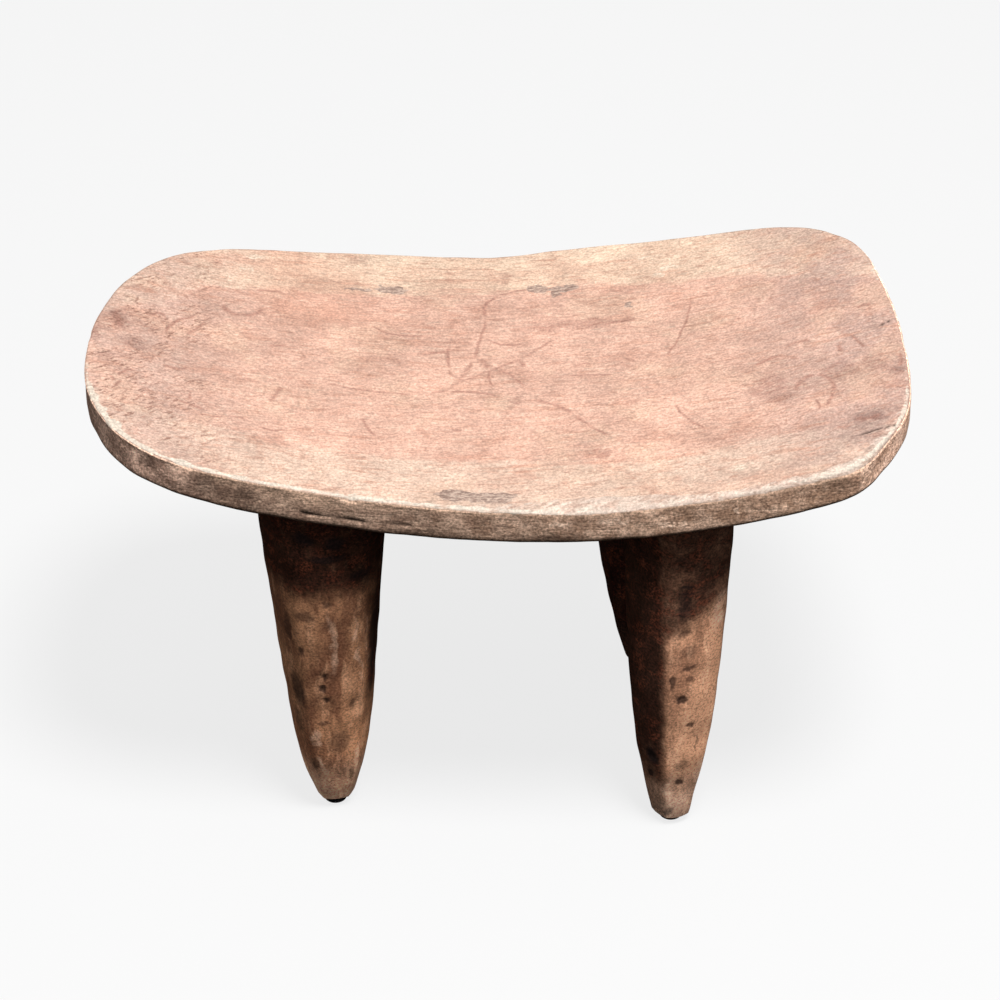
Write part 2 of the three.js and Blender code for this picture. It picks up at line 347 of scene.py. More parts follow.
def closed_curve(controls, steps):
    """A closed centripetal Catmull-Rom curve, with steps points to a span."""
    p1 = np.array(controls, float)
    p0, p2, p3 = np.roll(p1, 1, 0), np.roll(p1, -1, 0), np.roll(p1, -2, 0)

    def knot(a, b):
        return np.sum((b - a) ** 2, axis=1, keepdims=True) ** 0.25

    d0, d1, d2 = knot(p0, p1), knot(p1, p2), knot(p2, p3)
    t1 = ((p1 - p0) / d0 - (p2 - p0) / (d0 + d1) + (p2 - p1) / d1) * d1
    t2 = ((p2 - p1) / d1 - (p3 - p1) / (d1 + d2) + (p3 - p2) / d2) * d1
    square = 3 * (p2 - p1) - 2 * t1 - t2
    cube = 2 * (p1 - p2) + t1 + t2
    t = np.linspace(0, 1, steps, endpoint=False)[None, :, None]
    spans = p1[:, None] + t1[:, None] * t + square[:, None] * t**2 + cube[:, None] * t**3
    return spans.reshape(-1, 2)


def evenly_spaced(points, count):
    """Points at even distances along a closed line."""
    closed = np.vstack([points, points[:1]])
    lengths = np.linalg.norm(np.diff(closed, axis=0), axis=1)
    along = np.concatenate([[0], np.cumsum(lengths)])
    wanted = np.linspace(0, along[-1], count, endpoint=False)
    return np.column_stack([np.interp(wanted, along, closed[:, k]) for k in range(2)])


def outward_of(outline):
    """The outward direction at each point of a counter-clockwise outline."""
    along = np.roll(outline, -1, 0) - np.roll(outline, 1, 0)
    along /= np.linalg.norm(along, axis=1, keepdims=True)
    return np.column_stack([along[:, 1], -along[:, 0]])


def on_floor(outline):
    """The outline's points with a height of 0."""
    return np.column_stack([outline, np.zeros(len(outline))])


def seat_outline():
    """The rim from above, fitted to the seat's box, with a hand-cut waver that only goes inward."""
    curve = closed_curve(outline_shares, curve_steps)
    low, high = curve.min(axis=0), curve.max(axis=0)
    size = np.array([seat_length, seat_depth])
    outline = evenly_spaced(((curve - low) / (high - low) - 0.5) * size, seat_stations)
    slow = waves(11, 0.05, 0.16)(on_floor(outline))
    quick = waves(12, 0.014, 0.035)(on_floor(outline))
    inward = rim_inset + rim_slow_waver * slow + rim_quick_waver * quick
    inward = np.maximum(inward, rim_least_inset)
    return outline - outward_of(outline) * inward[:, None]


def edge_values(outline):
    """Each column of the edge's table at every point of the rim, made a little uneven."""
    angle = np.degrees(np.arctan2(outline[:, 1] / half_depth, outline[:, 0] / half_length))
    angles, *columns = np.array(edge_rows).T
    values = {name: np.interp(angle, angles, column) for name, column in zip(edge_names, columns)}
    uneven = 1 + 0.10 * waves(13, 0.02, 0.09)(on_floor(outline))
    values["width"] = values["width"] * mm * uneven
    values["drop"] = values["drop"] * mm * uneven
    values["line_half"] *= 1 + 0.35 * waves(14, 0.006, 0.03)(on_floor(outline))
    values["around"] = (values["width"] + values["drop"]) / 2 * quarter_turn
    values["side_height"] = seat_thickness - lower_edge_round - values["drop"]
    return values


# Cracks in the seat, in millimetres: points along each, depth, half width, and the axis along which the
# surface may lie off the path
seat_cracks = [
    ([(-128, -144.2, 281.8), (-110, -146, 280.2), (-88, -148, 276.2)], 1.4, 0.5, "y"),
    ([(-75, -150, 276.2), (-60, -151.5, 275.2)], 0.8, 0.5, "y"),
    ([(224, -128, 319.5), (236, -125, 323), (249, -124, 326.8)], 0.7, 0.5, "z"),
    ([(246, -8, 325), (254, -8.5, 328), (264, -3.5, 331)], 0.7, 0.5, "z"),
    ([(151, 164, 289), (128, 165, 284.8), (109, 165.2, 283.8)], 1.3, 0.6, "y"),
    ([(-262, 30, 308), (-266, 11, 310)], 1, 0.6, "x"),
]


def crack_grooves(points):
    """The depth of each crack's groove at every point, and how near the point lies to its middle."""
    for path, depth, width, loose in seat_cracks:
        hold = np.array([0.2 if axis == loose else 1.0 for axis in "xyz"])
        gap = distance_to_path(points * hold, np.array(path) * mm * hold) / (width * mm)
        yield depth * mm * np.exp(-(gap**2)), np.exp(-(gap**2) / 2)


def small_chips():
    """Seeded places along the rim, each with its length and depth."""
    rng = np.random.default_rng(21)
    places = rng.random(small_chip_count)
    (shortest, longest), (shallowest, deepest) = small_chip_lengths, small_chip_depths
    lengths = shortest + (longest - shortest) * rng.random(small_chip_count)
    depths = shallowest + (deepest - shallowest) * rng.random(small_chip_count) ** 3
    return zip(places, lengths, depths)


def adze_scoops(across, along, scoop, seed):
    """Shallow overlapping scoops with crisp ridges between, as depths at the given places."""
    rng = np.random.default_rng(seed)
    cell_across, cell_along, depth = scoop
    low_a, high_a = across.min(), across.max()
    low_b, high_b = along.min(), along.max()
    cut = np.zeros(across.shape)
    rows = int((high_b - low_b) / cell_along) + 2
    columns = int((high_a - low_a) / cell_across) + 2
    for row in range(rows):
        for column in range(columns):
            jitter_a, jitter_b, size, deep = rng.random(4)
            centre_a = low_a + (column + 0.5 * (row % 2) + 0.5 * (jitter_a - 0.5)) * cell_across
            centre_b = low_b + (row + 0.6 * (jitter_b - 0.5)) * cell_along
            reach = 0.75 + 0.45 * size
            gap = ((across - centre_a) / (cell_across * reach)) ** 2
            gap += ((along - centre_b) / (cell_along * reach)) ** 2
            cut = np.maximum(cut, (0.55 + 0.45 * deep) * (1 - gap))
    return depth * cut


def leg_top(leg):
    x = leg["top_shares"][0] * half_length
    y = leg["top_shares"][1] * half_depth
    return np.array([x, y, top_height(x) - seat_thickness])


def leg_foot(leg):
    x = leg["foot_shares"][0] * half_length
    y = leg["foot_shares"][1] * half_depth
    return np.array([x, y, pad_thickness + touch_gap])


def seat_profile():
    """The rows of the seat's skin from the middle of the top to the middle of the underside. Each has a
    zone, a share inward from the rim, and a share round the edge or down the side."""
    rows = [("top", (k / (top_rings + 1)) ** top_ring_power, 0) for k in range(top_rings, 0, -1)]
    rows += [("edge", 0, k / edge_steps) for k in range(edge_steps + 1)]
    rows += [("side", 0, k / side_rings) for k in range(1, side_rings)]
    rows += [("lower", 0, k / lower_edge_steps) for k in range(lower_edge_steps + 1)]
    rows += [("under", (k / (under_rings + 1)) ** under_ring_power, 1) for k in range(1, under_rings + 1)]
    return rows


def seat_base_points(outline, outward, edges):
    """The seat's smooth form as rows of points. Each point's edge is its distance over the edge, which
    is positive inward on the top, and its turn is 0 to 1 round the top edge, 2 at the side's foot."""
    rows, distances, turns = [], [], []
    width, drop = edges["width"], edges["drop"]
    around, side_height = edges["around"], edges["side_height"]
    flat_edge = np.zeros(len(outline))
    for zone, share, turn in seat_profile():
        inset = flat_edge
        if zone in ("top", "edge"):
            inset = width * (1 - math.sin(turn * quarter_turn))
            down = drop * (1 - math.cos(turn * quarter_turn))
            edge = -around * turn
            stage = flat_edge + turn
        elif zone == "side":
            down = drop + side_height * turn
            edge = -around - side_height * turn
            stage = flat_edge + 1 + turn
        else:
            inset = flat_edge + lower_edge_round * (1 - math.cos(turn * quarter_turn))
            down = seat_thickness - lower_edge_round * (1 - math.sin(turn * quarter_turn))
            edge = -around - side_height - lower_edge_round * turn * quarter_turn
            stage = flat_edge + 2 + turn
        if zone == "top":
            edge = np.linalg.norm(outline, axis=1) * share
            stage = -edge / turn_inward
        if zone in ("top", "edge"):
            reach = np.abs(outline[:, 0]) / half_length
            at_end = shoulder_middle_share + (1 - shoulder_middle_share) * smooth(reach, *shoulder_growth)
            down = down + shoulder_drop * at_end * smooth(stage, -1, 0)
        flat = (outline - outward * inset[:, None]) * (1 - share)
        rows.append(np.column_stack([flat, top_height(flat[:, 0]) - down]))
        distances.append(edge)
        turns.append(stage)
    return np.array(rows), np.array(distances), np.array(turns)


def carve_seat(points, edge, outward, zones, edges):
    """Moves the seat's points for its undulating top, cut rim, chips, cracks and scooped underside."""
    top = ((zones == "top") | (zones == "edge"))[:, None]
    under = zones == "under"
    rim = ~under[:, None]
    x, y = points[..., 0], points[..., 1]
    sunk = top_inset + top_slow_waver * (waves(31, 0.05, 0.2)(points) + 1.2)
    sunk += top_quick_waver * (waves(32, 0.007, 0.02)(points) + 1)
    lift = -sunk * top
    clear = np.ones(x[under].shape)
    for leg in legs.values():
        centre = leg_top(leg)
        clear *= smooth(np.hypot(x[under] - centre[0], y[under] - centre[1]), *scoop_clear)
    lift[under] += adze_scoops(x[under], y[under], seat_scoop, 33) * clear
    depth_share = smooth(-edge, *side_start) * rim
    side_in = depth_share * side_waver * (waves(34, 0.012, 0.05)(points) + 1)

    arc = np.arange(points.shape[1]) / points.shape[1]
    way_round = (seat_length + seat_depth) * small_chip_way_share
    arris = bell(edge + edges["around"] * small_chip_top_turn, small_chip_top_reach) * rim
    foot = edge + edges["around"] + edges["side_height"]
    lower = bell(foot + small_chip_foot_rise, small_chip_foot_reach) * rim
    for n, (place, length, depth) in enumerate(small_chips()):
        gap = np.abs((arc - place + 0.5) % 1 - 0.5) * way_round
        bite = (arris if n % 2 else lower) * bell(gap, length, 4) * depth
        side_in += bite
        if n % 2:
            lift -= bite
    front_chip = bell(x - chip_x, chip_reach) * (y < 0) * arris * chip_depth
    lift -= front_chip
    side_in += front_chip * chip_inward_share
    for groove, _ in crack_grooves(points):
        side_in += groove * depth_share
        lift -= groove * (1 - depth_share) * top
    moved = points.copy()
    moved[..., :2] -= outward[None] * side_in[..., None]
    moved[..., 2] += lift
    return moved


# Where the pale sapwood meets the red heartwood on the top, behind and in front, in millimetres
sap_line_rear = [
    (-270, 30), (-230, 56), (-198, 87), (-130, 101), (-61, 107), (29, 108), (67, 114), (105, 102),
    (154, 101), (190, 90), (231, 68), (270, 50),
]
sap_line_front = [
    (-270, -60), (-225, -76), (-194, -83), (-131, -101), (-52, -102), (23, -107), (96, -114), (145, -112),
    (213, -117), (270, -124),
]


def heart_depth(points):
    """How far a point lies inside the heartwood, negative in the sapwood."""
    x, y = points[..., 0], points[..., 1]
    rear = np.interp(x, *(np.array(sap_line_rear) * mm).T)
    front = np.interp(x, *(np.array(sap_line_front) * mm).T)
    return np.minimum(rear - y, y - front)


def edge_marks(turn, edges):
    """The pale line on the arris and the rubbed band above it, worn wood with a painted highlight and a
    painted sheen, then the rim's own wood and its worn top.
    """
    line = 1 - smooth(np.abs(turn - edges["line_middle"]) / edges["line_half"], 0.55, 1.0)
    start = edges["rim_start"]
    wear_and_sheen_band = smooth(turn, -0.45, 0.1) * (1 - smooth(turn, start - 0.05, start + 0.1))
    side = smooth(turn, start - 0.12, start + 0.12)
    worn = 1 - smooth(turn, start, start + edges["worn"])
    return line * edges["line"], wear_and_sheen_band * edges["wear_and_sheen_band"], side, worn * side


def crack_share(points):
    """How near a point lies to the middle of a crack."""
    return np.max([nearness for _, nearness in crack_grooves(points)], axis=0)


def cut_mortises(seat):
    """Cuts the blind holes for the legs' tenons into the seat's underside."""
    radius = tenon_diameter / 2 + tenon_clearance
    profile = [(radius, -cutter_overrun), (radius, tenon_length + tenon_clearance)]
    cutters = []
    for leg in legs.values():
        cutter = mesh_object("cutter", *turned_points(profile, leg_top(leg), tenon_hole_steps))
        cut = seat.modifiers.new("mortise", "BOOLEAN")
        cut.operation = "DIFFERENCE"
        cut.solver = "EXACT"
        cut.object = cutter
        cutters.append(cutter)
    graph = bpy.context.evaluated_depsgraph_get()
    finished = bpy.data.meshes.new_from_object(seat.evaluated_get(graph))
    seat.modifiers.clear()
    seat.data = finished
    for cutter in cutters:
        bpy.data.objects.remove(cutter)


def make_seat():
    outline = seat_outline()
    outward = outward_of(outline)
    edges = edge_values(outline)
    zones = np.array([zone for zone, _, _ in seat_profile()])
    base, edge, turn = seat_base_points(outline, outward, edges)
    points = carve_seat(base, edge, outward, zones, edges)
    line, wear_and_sheen_band, side, worn = edge_marks(turn, edges)
    under = np.broadcast_to((zones == "under")[:, None].astype(float), edge.shape)
    values = {
        "turn": (turn.min(), turn, turn.max()),
        "heart": (0.1, heart_depth(base), 0.1),
        "line": (0, line, 0),
        "wear_and_sheen_band": (0, wear_and_sheen_band, 0),
        "side": (0, side, 1),
        "worn": (0, worn, 0),
        "crack": (0, crack_share(base), 0),
        "under": (0, under, 1),
    }
    flat_values = {k: np.concatenate([[a], np.ravel(b), [c]]) for k, (a, b, c) in values.items()}
    ends = [[(0, 0, points[ring, :, 2].mean())] for ring in (0, -1)]
    skin = np.vstack([ends[0], points.reshape(-1, 3), ends[1]])
    faces = skin_faces(len(zones), seat_stations)
    seat = make_piece("seat_carved", "seat", skin, faces, flat_values)
    cut_mortises(seat)
    return seat


def leg_radius(leg, t, height, angle):
    """The radius of a leg's section at the share t of its height and the angle round it."""
    full = leg_top_diameter / 2 * leg["width_share"]
    straight = full * (1 - leg["taper_share"] * t - leg["tip_share"] * t ** leg["tip_power"])
    from_seat = np.clip(1 - t * height / leg_flare_height, 0, None)
    sector = full_turn / leg["flats"]
    from_ridge = angle - math.radians(leg["ridge_degrees"])
    from_flat = from_ridge - sector * np.floor(from_ridge / sector) - sector / 2
    polygon = math.cos(sector / 4) / np.cos(from_flat)
    flat = leg["flat_share"] + (leg["tip_flat_share"] - leg["flat_share"]) * t**flat_power
    return straight * (1 + flat * (polygon - 1)) + leg_flare * from_seat**2


def leg_point_grid(leg):
    """Rows of points down a leg from its trimmed shoulder to the top of its sole's chamfer."""
    top, foot = leg_top(leg), leg_foot(leg)
    height = top[2] - foot[2]
    angles = np.arange(leg_stations) / leg_stations * full_turn
    shares = np.linspace(0, 1, leg_rings)[:, None]
    low = foot[2] + sole_chamfer * leg["sole_share"]
    z = np.broadcast_to(top[2] + (low - top[2]) * shares, (leg_rings, leg_stations))
    for _ in range(4):
        t = (top[2] - z) / height
        radius = leg_radius(leg, np.clip(t, 0, 1), height, angles)
        x = top[0] + (foot[0] - top[0]) * t + radius * np.cos(angles)
        y = top[1] + (foot[1] - top[1]) * t + radius * np.sin(angles)
        shoulder = top_height(x[0]) - seat_thickness - touch_gap
        z = shoulder + (low - shoulder) * shares
    centre = top[:2] + (foot[:2] - top[:2]) * t[..., None]
    return np.stack([x, y, z], axis=-1), centre, angles


# Dark stains on the legs, in millimetres: centre, half sizes and strength, and for a pit or knot also
# its half width and depth
leg_stains = {
    "front_left": [
        (-141.4, -114, 171.1, 4, 6, 18, 0.55),
        (-130.4, -123.2, 184.9, 10, 8, 6, 0.55),
        (-133.4, -118.2, 153.4, 4, 6, 5, 0.7, 2.8, 0.6),
        (-136.6, -110.2, 114.8, 7, 9, 24, 0.75),
        (-137.7, -102.6, 83.4, 6, 9, 18, 0.5),
        (-115.7, -127.2, 196.3, 5, 6, 3, 0.6, 2.6, 0.7),
        (-116.2, -125.3, 178.6, 6, 6, 5, 0.3),
        (-118.2, -119.8, 131.6, 3, 6, 5, 0.7, 2.4, 0.9),
        (-120.5, -118.2, 120.4, 4, 6, 5, 0.8, 2.4, 0.9),
        (-118.1, -117.3, 110.3, 4, 6, 4, 0.8, 2.2, 0.8),
        (-99.5, -111.7, 104.6, 3, 6, 6, 0.6, 2, 0.6),
        (-121.4, -113.8, 87.4, 5, 6, 3, 0.5),
        (-109.8, -111.1, 67.6, 9, 7, 16, 0.5),
        (-127.3, -104.9, 47.6, 4, 6, 15, 0.6),
        (-103, -100.2, 36, 3, 6, 12, 0.6),
        (-85, -102, 150, 7, 12, 55, 0.7),
        (-92.4, -122.8, 217.3, 12, 10, 6, 0.8),
        (-112, -131, 236, 20, 12, 5, 0.75),
        (-129.5, -133.4, 253, 10, 12, 8, 0.9),
        (-107.8, -132.7, 248.7, 11, 12, 8, 0.9),
        (-86, -130, 250, 8, 12, 12, 0.5),
    ],
    "front_right": [
        (115.3, -146.9, 237.6, 6, 6, 4, 0.5),
        (119, -144, 216, 7, 8, 2.5, 0.75),
        (119, -144, 210.5, 6, 8, 2, 0.7),
        (118, -144.5, 200, 7, 8, 20, 0.6),
        (118.8, -142.7, 176.5, 7, 6, 6, 0.6, 3.8, 0.8),
        (122, -140.9, 161.2, 8, 6, 6, 0.4),
        (121.9, -140, 147.3, 6, 6, 3, 0.75, 2.4, 0.7),
        (122.9, -139, 137.4, 3, 5, 3, 0.6),
        (112.2, -141, 135.9, 3, 5, 9, 0.75),
        (117.4, -139.3, 120.3, 5.5, 6, 5, 0.85, 3.4, 1.2),
        (124.6, -135, 95.5, 5, 6, 3, 0.75, 2.2, 0.7),
        (129.6, -130.3, 77.1, 1.5, 5, 12, 0.5),
        (119.8, -132.5, 59.4, 7, 6, 7, 0.4),
        (119.2, -130.1, 42.7, 4, 6, 4, 0.8, 2.4, 0.7),
        (100.5, -127.2, 63.6, 6, 8, 10, 0.95, 3.6, 0.9),
        (99.9, -122.9, 46.3, 4, 8, 6, 0.8),
        (112.9, -124.8, 13.1, 5, 6, 7, 0.6),
    ],
    "rear_left": [
        (-117, 112, 150, 6, 8, 12, 0.7, 3, 0.9),
        (-109, 102, 112, 5, 8, 5, 0.7, 2.4, 0.8),
    ],
    "rear_right": [
        (113, 118, 172, 6, 8, 14, 0.7, 3, 0.9),
        (122, 103, 105, 5, 8, 6, 0.7, 2.6, 0.8),
    ],
}


def leg_soot_and_shade(side, points, centre):
    """How dark a leg is under the seat and on its inner sides: smoke and hand patina, together with painted
    shade under the seat and the seat's painted shadow over the leg's top.
    """
    x, y, z = points[..., 0], points[..., 1], points[..., 2]
    out = np.hypot(x - centre[..., 0], y - centre[..., 1])
    inward = -np.sign(centre[..., 0]) * (x - centre[..., 0]) / out
    outer = np.sign(centre[..., 1]) * (y - centre[..., 1]) / out
    rear = smooth(-outer, 0.1, 0.8)
    # Painted shade and shadow with darker patina: high is the seat's shadow over the leg's top, inner and
    # rear are the shade under the seat
    if side == "front_left":
        high = smooth(z, 0.178, 0.222) * 0.86
        inner = smooth(inward, 0.55, 0.95) * 0.75 * smooth(z, 0.05, 0.12)
    elif side == "front_right":
        # The seat's painted shadow, slanting across this leg as the shadow's edge does
        high = smooth(z - 0.9 * (x - 0.118), 0.155, 0.195) * 0.78
        inner = smooth(inward, -0.05, 0.60) * (0.6 + 0.4 * smooth(z, 0.02, 0.10))
    else:
        high = smooth(z, 0.19, 0.24) * 0.9
        inner = smooth(inward, -0.1, 0.4)
        rear = smooth(-outer, -0.6, 0.2)
    return np.maximum(np.maximum(high, inner), rear * smooth(z, 0.012, 0.055))


def leg_carving(side, leg, points, angles):
    """How far the adze's scoops, the slow waver and the pits lie inside a leg's smooth form."""
    seed = 50 + 5 * list(legs).index(side)
    reach = np.broadcast_to(angles, points.shape[:-1]) * leg_top_diameter / 2 * 0.75
    shoulder_clear = smooth(leg_top(leg)[2] - points[..., 2], 0.004, 0.02)
    wrap = smooth(angles, 0, 0.35) * smooth(full_turn - angles, 0, 0.35)
    inward = adze_scoops(reach, points[..., 2], leg_scoop, seed) * shoulder_clear * wrap
    inward += leg_waver * shoulder_clear * (waves(seed + 1, 0.02, 0.07)(points) + 1)
    for x, y, z, *rest in leg_stains[side]:
        if len(rest) > 4:
            pit_reach, depth = rest[4:]
            gap = np.linalg.norm(points - np.array([x, y, z]) * mm, axis=-1)
            inward += depth * mm * bell(gap, pit_reach * mm)
    return inward


def tenon_rings(shoulder, top, spokes):
    """Rings from the crown of a leg's tenon down to its foot on the shoulder."""
    radius = tenon_diameter / 2
    corner = [
        (radius * 0.5, tenon_length),
        (radius - tenon_chamfer, tenon_length),
        (radius, tenon_length - tenon_chamfer),
        (radius, tenon_length / 2),
    ]
    rings = [level_ring(spokes, reach, height) + top for reach, height in corner]
    foot = top[:2] + spokes * radius
    for flat in (foot, (foot + shoulder[:, :2]) / 2):
        rings.append(np.column_stack([flat, top_height(flat[:, 0]) - seat_thickness - touch_gap]))
    return rings


def make_leg(side, leg):
    """A leg with its tenon, its flats and tool marks, and its chamfered sole."""
    points, centre, angles = leg_point_grid(leg)
    inward = leg_carving(side, leg, points, angles)
    moved = points.copy()
    spokes = around_axis(leg_stations)
    moved[..., :2] -= spokes[None] * inward[..., None]
    top, foot = leg_top(leg), leg_foot(leg)
    upper_rings = tenon_rings(moved[0], top, spokes)
    rings = upper_rings + list(moved)
    # The leg's soot and patina with its painted shade and shadow, as a value on its points
    soot_and_shade = leg_soot_and_shade(side, points, centre)
    chamfer = sole_chamfer * leg["sole_share"]
    upper = np.linalg.norm(moved[-1, :, :2] - foot[:2], axis=1)
    tip = leg_radius(leg, 1, top[2] - foot[2], angles) - inward[-1] - chamfer
    for inset_share, rise_share in sole_corner_shares:
        reach = upper + (tip - upper) * inset_share
        rings.append(level_ring(spokes, reach[:, None], chamfer * rise_share) + foot)
    crown = top + np.array([0, 0, tenon_length])
    skin = np.vstack([[crown], *rings, [foot]])
    above = np.ones(1 + len(upper_rings) * leg_stations)
    below = np.tile(soot_and_shade[-1], len(sole_corner_shares))
    values = {"soot_and_shade": np.concatenate([above, soot_and_shade.ravel(), below, soot_and_shade[-1, :1]])}
    faces = skin_faces(len(rings), leg_stations)
    return make_piece("leg_" + side + "_carved", "leg_" + side, skin, faces, values)


def make_pad(side, foot):
    """A black foot pad, standing in for the dark shadow under the foot, softened at its edges, with a sunk
    well for the nail's head.
    """
    outer = pad_diameter / 2
    well = nail_head_diameter / 2 + nail_clearance
    well_depth = nail_head_inset + nail_head_thickness + nail_clearance
    bore = nail_shank_diameter / 2 + nail_clearance
    outline = [(well, well_depth), (well, well_edge_round), (well + well_edge_round, 0)]
    steps = list(range(pad_corner_steps + 1))
    for level, way, turns in ((0, 1, steps), (pad_thickness, -1, steps[::-1])):
        for step in turns:
            turn = step / pad_corner_steps * quarter_turn
            inset = pad_edge_round * (1 - math.sin(turn))
            rise = pad_edge_round * (1 - math.cos(turn))
            outline.append((outer - inset, level + way * rise))
    outline += [(bore, pad_thickness), (bore, well_depth)]
    points, faces = ring_solid(outline, np.array([foot[0], foot[1], 0]))
    return make_piece("pad_" + side + "_worn", "foot_pad_" + side, points, faces)


def make_nail(side, foot):
    """The nail of a pad, point up, with a slightly domed head."""
    head, shank = nail_head_diameter / 2, nail_shank_diameter / 2
    profile = [(head * share, height * mm) for share, height in nail_dome]
    profile += [
        (head, nail_head_thickness - nail_head_round),
        (head - nail_head_round, nail_head_thickness),
        (shank, nail_head_thickness),
        (shank, nail_length - nail_point_length),
        (shank * 0.15, nail_length),
    ]
    centre = np.array([foot[0], foot[1], nail_head_inset])
    points, faces = turned_points(profile, centre, turned_steps)
    return make_piece("nail_" + side + "_turned", "pad_nail_" + side, points, faces)


class Graph:
    """A material's or the world's shader nodes, added by short calls."""

    def __init__(self, owner):
        owner.use_nodes = True
        self.tree = owner.node_tree
        self.tree.nodes.clear()

    def node(self, kind, inputs=None, **settings):
        made = self.tree.nodes.new(kind)
        for key, value in settings.items():
            setattr(made, key, value)
        for key, value in (inputs or {}).items():
            if isinstance(value, bpy.types.NodeSocket):
                self.tree.links.new(value, made.inputs[key])
            else:
                made.inputs[key].default_value = value
        return made

    def place(self):
        return self.node("ShaderNodeTexCoord").outputs["Object"]

    def value(self, name):
        return self.node("ShaderNodeAttribute", attribute_name=name).outputs["Fac"]

    def math(self, operation, *values):
        return self.node("ShaderNodeMath", dict(enumerate(values)), operation=operation).outputs[0]

    def add(self, first, second):
        return self.math("ADD", first, second)

    def times(self, first, second):
        return self.math("MULTIPLY", first, second)

    def most(self, first, second):
        return self.math("MAXIMUM", first, second)

    def sway(self, noise, reach):
        """The noise moved to lie round 0, times the reach."""
        return self.times(self.add(noise, -0.5), reach)

    def axis(self, vector, name):
        return self.node("ShaderNodeSeparateXYZ", {0: vector}).outputs[name]

    def vector(self, operation, first, second, output="Vector"):
        made = self.node("ShaderNodeVectorMath", {0: first, 1: second}, operation=operation)
        return made.outputs[output]

    def along(self, vector, start, way):
        """How far the vector lies past the start along a way in the horizontal plane."""
        reach = self.vector("DOT_PRODUCT", vector, (way[0], way[1], 0), "Value")
        return self.add(reach, -start[0] * way[0] - start[1] * way[1])

    def noise(self, vector, scale, detail=3.0, roughness=0.5, output="Fac"):
        """A random field: one scale everywhere, or one for each axis."""
        if isinstance(scale, tuple):
            vector = self.vector("MULTIPLY", vector, scale)
            scale = 1.0
        inputs = {"Vector": vector, "Scale": scale, "Detail": detail, "Roughness": roughness}
        return self.node("ShaderNodeTexNoise", inputs).outputs[output]

    def warp(self, vector, scale, amount):
        """The vector moved about by a smooth random field, by up to about amount."""
        field = self.noise(vector, scale, 2.0, output="Color")
        centred = self.vector("SUBTRACT", field, (0.5, 0.5, 0.5))
        moved = self.node("ShaderNodeVectorMath", {0: centred, "Scale": 2 * amount}, operation="SCALE")
        return self.vector("ADD", vector, moved.outputs[0])

    def turned(self, vector, degrees):
        """The vector turned about the vertical."""
        inputs = {"Vector": vector, "Rotation": (0, 0, math.radians(degrees))}
        return self.node("ShaderNodeMapping", inputs, vector_type="TEXTURE").outputs[0]

    def step(self, value, low, high, start=0.0, end=1.0):
        inputs = {0: value, 1: low, 2: high, 3: start, 4: end}
        return self.node("ShaderNodeMapRange", inputs, interpolation_type="SMOOTHSTEP").outputs[0]

    def mix(self, factor, first, second, blend="MIX"):
        inputs = {0: factor, 6: first, 7: second}
        return self.node("ShaderNodeMix", inputs, data_type="RGBA", blend_type=blend).outputs[2]

    def tint(self, colour, mask, strength, tinted):
        """The colour mixed towards a tinted one where the mask is, by the strength at most."""
        return self.mix(self.times(mask, strength), colour, tinted)

    def lit(self, colour, grey):
        """The colour times a grey."""
        joined = self.node("ShaderNodeCombineXYZ", {0: grey, 1: grey, 2: grey}).outputs[0]
        return self.mix(1.0, colour, joined, "MULTIPLY")

    def shade(self, colour, factor, low, high, spread=0.5):
        """The colour times a grey from low to high, as the factor runs over spread round a half."""
        return self.lit(colour, self.step(factor, 0.5 - spread, 0.5 + spread, low, high))

    def spot(self, vector, centre, radii, soft):
        """1 inside an ellipsoid, fading to 0 over its outer part."""
        away = self.vector("SUBTRACT", vector, centre)
        local = self.vector("MULTIPLY", away, tuple(1 / radius for radius in radii))
        return self.step(self.vector("LENGTH", local, local, "Value"), 1.0, 1.0 - soft)

    def stroke(self, vector, start, middle, end, width):
        """A thin mark on the seat's top that curves through three points, with its half width."""
        length = math.dist(start, end)
        way = ((end[0] - start[0]) / length**2, (end[1] - start[1]) / length**2)
        aside = (-way[1], way[0])
        to_middle = (middle[0] - start[0], middle[1] - start[1])
        share = to_middle[0] * way[0] + to_middle[1] * way[1]
        bend = (to_middle[0] * aside[0] + to_middle[1] * aside[1]) / (share * (1 - share))
        along = self.along(vector, start, way)
        left = self.times(along, self.math("SUBTRACT", 1.0, along))
        gap = self.math("MULTIPLY_ADD", left, -bend, self.along(vector, start, aside))
        line = self.step(self.math("ABSOLUTE", gap), 0.0, width / length, 1.0, 0.0)
        return self.times(line, self.step(left, 0.0, 0.12))

    def surface(self, shader, output="ShaderNodeOutputMaterial"):
        """Ends the graph in a shader."""
        self.node(output, {"Surface": shader.outputs[0]})

    def finish(self, colour, roughness, height, strength, distance, specular, metallic=0.0):
        bump = self.node("ShaderNodeBump", {"Height": height, "Strength": strength, "Distance": distance})
        inputs = {"Base Color": colour, "Roughness": roughness, "Normal": bump.outputs[0]}
        inputs.update({"Specular IOR Level": specular, "Metallic": metallic})
        self.surface(self.node("ShaderNodeBsdfPrincipled", inputs))


def linear(channel):
    """A linear light share from an 8-bit display value."""
    share = channel / 255
    return share / 12.92 if share <= 0.04045 else ((share + 0.055) / 1.055) ** 2.4


def tone(red, green, blue, light):
    """The surface colour that shows as the given display colour under that much light."""
    return (linear(red) / light, linear(green) / light, linear(blue) / light, 1.0)


# How much light falls on the seat's top, its rim and the legs
top_light = 1.90
rim_light = 0.74
leg_light = 0.40


def on_top(red, green, blue):
    return tone(red, green, blue, top_light)


def on_rim(red, green, blue):
    return tone(red, green, blue, rim_light)


def on_leg(red, green, blue):
    return tone(red, green, blue, leg_light)


# How far a scratch's soft edge reaches, as a share of its half width
scratch_reach_share = 1.6

